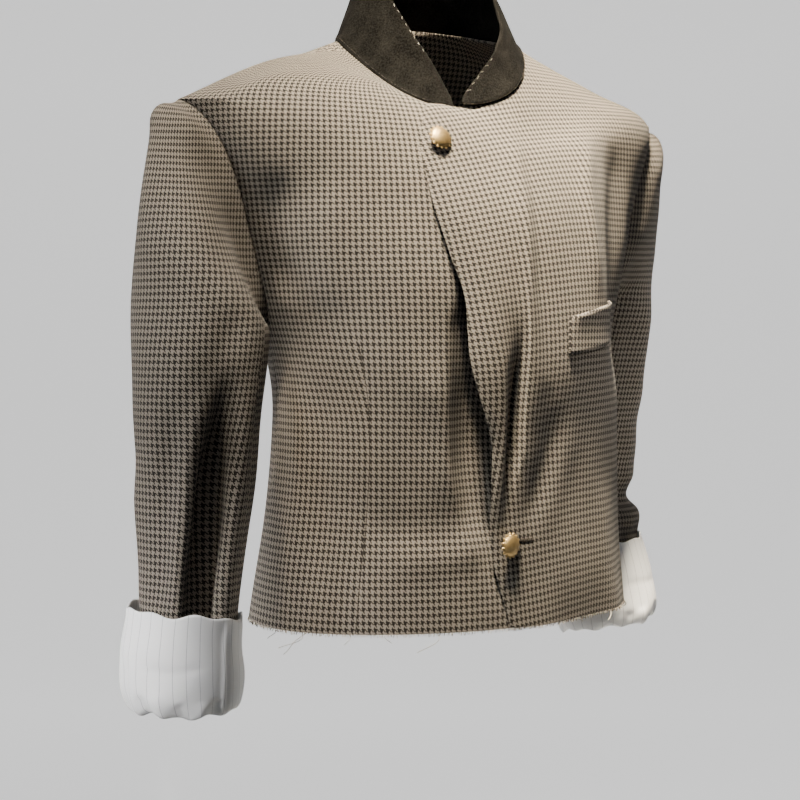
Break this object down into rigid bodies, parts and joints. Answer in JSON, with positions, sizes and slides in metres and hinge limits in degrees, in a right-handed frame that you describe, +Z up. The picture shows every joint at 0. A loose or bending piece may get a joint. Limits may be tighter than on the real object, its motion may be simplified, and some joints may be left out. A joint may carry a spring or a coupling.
{
  "type": "cropped blazer",
  "caption": "Waist-length houndstooth blazer in its worn form, felt undercollar turned up, lapels buttoned across and sleeves turned back to show the striped lining.",
  "frame": {"origin": "midway between the two points where the shoulder seams meet the collar, where the wearer's shoulders and neck hold the jacket up", "axes": "+Z up, -Y out of the jacket's front, +X towards the wearer's left"},
  "size_m": [0.559, 0.2569, 0.573],
  "materials": {
    "cloth": "brown and cream houndstooth wool",
    "felt": "dark brown melton felt",
    "lining": "white striped lining",
    "gold_metal": "polished gold"
  },
  "bodies": {
    "root": {"front_right": "cloth", "front_left": "cloth", "back_left": "cloth", "back_right": "cloth", "sleeve_top_left": "cloth", "sleeve_under_left": "cloth", "sleeve_top_right": "cloth", "sleeve_under_right": "cloth", "cuff_left": "lining", "cuff_right": "lining", "collar": "felt", "breast_welt": "cloth", "button_top": "gold_metal", "button_bottom": "gold_metal"}
  },
  "joints": []
}
